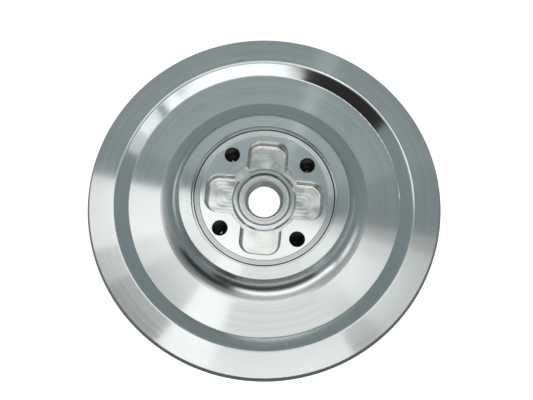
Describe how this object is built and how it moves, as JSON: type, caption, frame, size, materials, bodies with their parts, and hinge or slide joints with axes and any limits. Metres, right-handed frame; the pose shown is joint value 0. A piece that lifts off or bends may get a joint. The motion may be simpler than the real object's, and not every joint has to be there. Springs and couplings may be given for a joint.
{
  "type": "centrifugal supercharger back plate",
  "caption": "Dished, turned aluminium plate with bevelled rim, raised hub, four-lobed pocket and tapped holes, holding a thin-section ball bearing and a shaft seal.",
  "frame": {"origin": "centre of the flat rear face that the plate rests on, on the shaft axis", "axes": "+Z along the shaft axis, out of the hub face towards the gearcase; +X and +Y are across the plate, with the first tapped hole 36.5 degrees from +X"},
  "size_m": [0.18, 0.18, 0.018],
  "materials": {
    "turned_aluminium": "fine turned, bare",
    "bearing_steel": "ground and polished",
    "pressed_steel": "pressed sheet",
    "cage_polymer": "moulded polymer",
    "lip_polymer": "filled PTFE",
    "seal_rubber": "moulded rubber"
  },
  "bodies": {
    "plate": {"back_plate": "turned_aluminium", "bearing_outer_ring": "bearing_steel", "bearing_front_shield": "pressed_steel", "bearing_rear_shield": "pressed_steel", "bearing_preload_washer": "pressed_steel", "seal_case": "pressed_steel", "seal_lip": "lip_polymer", "seal_gasket": "seal_rubber", "seal_clamp_ring": "pressed_steel", "pilot_o_ring": "seal_rubber"},
    "inner_ring": {"bearing_inner_ring": "bearing_steel"},
    "cage": {"bearing_cage": "cage_polymer", "bearing_ball_01": "bearing_steel", "bearing_ball_02": "bearing_steel", "bearing_ball_03": "bearing_steel", "bearing_ball_04": "bearing_steel", "bearing_ball_05": "bearing_steel", "bearing_ball_06": "bearing_steel", "bearing_ball_07": "bearing_steel", "bearing_ball_08": "bearing_steel", "bearing_ball_09": "bearing_steel", "bearing_ball_10": "bearing_steel", "bearing_ball_11": "bearing_steel", "bearing_ball_12": "bearing_steel", "bearing_ball_13": "bearing_steel", "bearing_ball_14": "bearing_steel", "bearing_ball_15": "bearing_steel", "bearing_ball_16": "bearing_steel", "bearing_ball_17": "bearing_steel", "bearing_ball_18": "bearing_steel"}
  },
  "joints": [
    {"name": "inner_ring_spin", "type": "hinge", "parent": "plate", "child": "inner_ring", "pos_m": [0, 0, 0.0068], "axis": [0, 0, 1], "continuous": true},
    {"name": "cage_spin", "type": "hinge", "parent": "plate", "child": "cage", "pos_m": [0, 0, 0.0068], "axis": [0, 0, 1], "continuous": true}
  ],
  "couplings": [
    {"joint": "cage_spin", "follows": "inner_ring_spin", "ratio": 0.4574}
  ]
}
